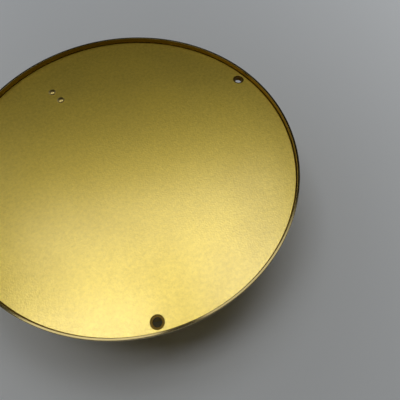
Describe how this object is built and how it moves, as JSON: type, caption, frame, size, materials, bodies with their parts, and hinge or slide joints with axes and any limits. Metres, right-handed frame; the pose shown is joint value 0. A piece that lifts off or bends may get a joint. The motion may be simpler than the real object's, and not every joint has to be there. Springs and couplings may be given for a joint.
{
  "type": "aneroid barometer",
  "caption": "Round brass aneroid barometer with a wide wall flange, lying face down: drum case, bezel, glass, dial with pointer and set hand, capsule movement.",
  "frame": {"origin": "centre of the bezel's front face, on the surface that the barometer lies on", "axes": "+Z from the dial to the back, along the dial's axis; 12 o'clock points to -Y and 3 o'clock to +X"},
  "size_m": [0.14, 0.14, 0.045],
  "materials": {
    "satin_brass": "satin brass with a fine matt grain",
    "polished_brass": "polished and lacquered brass",
    "movement_brass": "brushed brass",
    "spring_steel": "spring steel, lightly oiled",
    "screw_steel": "turned steel",
    "blued_steel": "heat-blued steel",
    "nickel": "nickel plate",
    "dial_paint": "matt off-white enamel",
    "clear_glass": "clear flat glass",
    "black_rubber": "matt"
  },
  "bodies": {
    "case": {"case_shell": "polished_brass", "back_plate": "satin_brass", "clip_rivet_outer": "polished_brass", "clip_rivet_inner": "polished_brass", "retaining_clip": "spring_steel", "bezel": "polished_brass", "glass_gasket": "black_rubber", "glass": "clear_glass", "rehaut": "polished_brass", "dial": "dial_paint", "dial_seat": "movement_brass", "dial_screw_1": "polished_brass", "dial_screw_2": "polished_brass", "dial_screw_3": "polished_brass", "pillar_1": "nickel", "pillar_2": "nickel", "pillar_3": "nickel", "base_screw_1": "screw_steel", "base_screw_2": "screw_steel", "base_screw_3": "screw_steel", "base_plate": "movement_brass", "capsule": "nickel", "capsule_nut": "screw_steel", "spring_bracket": "movement_brass", "clamp_plate": "movement_brass", "clamp_screw_1": "screw_steel", "clamp_screw_2": "screw_steel", "bracket_screw_1": "screw_steel", "bracket_screw_2": "screw_steel", "pivot_post_1": "movement_brass", "pivot_post_2": "movement_brass", "pivot_screw_1": "screw_steel", "pivot_screw_2": "screw_steel", "arbor_bridge": "movement_brass", "arbor_cock": "movement_brass", "bridge_post_1": "movement_brass", "bridge_post_2": "movement_brass", "bridge_screw_1": "screw_steel", "bridge_screw_2": "screw_steel", "cock_post_1": "movement_brass", "cock_post_2": "movement_brass", "cock_screw_1": "screw_steel", "cock_screw_2": "screw_steel", "hairspring": "spring_steel", "hairspring_stud": "movement_brass"},
    "set_pointer": {"set_knob": "polished_brass", "set_washer": "spring_steel", "set_hand": "polished_brass"},
    "indicator": {"hand_arbor": "screw_steel", "indicator_hand": "blued_steel", "hand_boss": "polished_brass"},
    "chain_run": {"chain": "spring_steel"},
    "rocker": {"rocker_shaft": "spring_steel"},
    "link": {"lever_link": "spring_steel"},
    "spring_lever": {"mainspring": "spring_steel", "main_lever": "movement_brass", "lever_rivet_1": "polished_brass", "lever_rivet_2": "polished_brass"},
    "capsule_stroke": {"capsule_post": "screw_steel"},
    "calibration": {"calibration_screw": "screw_steel"}
  },
  "joints": [
    {"name": "set_pointer_turn", "type": "hinge", "parent": "case", "child": "set_pointer", "pos_m": [0, 0, 0.007], "axis": [0, 0, 1], "continuous": true},
    {"name": "indicator_turn", "type": "hinge", "parent": "case", "child": "indicator", "pos_m": [0, 0, 0.0157], "axis": [0, 0, 1], "range_deg": [-150, 150], "stiffness_Nm_per_rad": 0.001},
    {"name": "chain_slide", "type": "slide", "parent": "case", "child": "chain_run", "axis": [-1, 0, 0], "range_m": [-0.00345, 0.00345]},
    {"name": "rocker_turn", "type": "hinge", "parent": "case", "child": "rocker", "pos_m": [0.0275, 0, 0.03325], "axis": [0, 1, 0], "range_deg": [-14.6, 14.6]},
    {"name": "link_slide", "type": "slide", "parent": "case", "child": "link", "axis": [0, 0, 1], "range_m": [-0.00077, 0.00077]},
    {"name": "spring_lever_bend", "type": "hinge", "parent": "case", "child": "spring_lever", "pos_m": [-0.0252, 0, 0.0244], "axis": [0, -1, 0], "range_deg": [-0.89, 0.89]},
    {"name": "capsule_slide", "type": "slide", "parent": "case", "child": "capsule_stroke", "axis": [0, 0, 1], "range_m": [-0.0004, 0.0004]},
    {"name": "calibration_turn", "type": "hinge", "parent": "case", "child": "calibration", "pos_m": [-0.034, 0, 0.032], "axis": [0, 0, 1], "range_deg": [-180, 180]}
  ],
  "couplings": [
    {"joint": "chain_slide", "follows": "indicator_turn", "m_per_rad": 0.0013},
    {"joint": "rocker_turn", "follows": "indicator_turn", "ratio": 0.095941},
    {"joint": "link_slide", "follows": "indicator_turn", "m_per_rad": 0.00028782},
    {"joint": "spring_lever_bend", "follows": "indicator_turn", "ratio": 0.0057912},
    {"joint": "capsule_slide", "follows": "indicator_turn", "m_per_rad": 0.00014594}
  ]
}
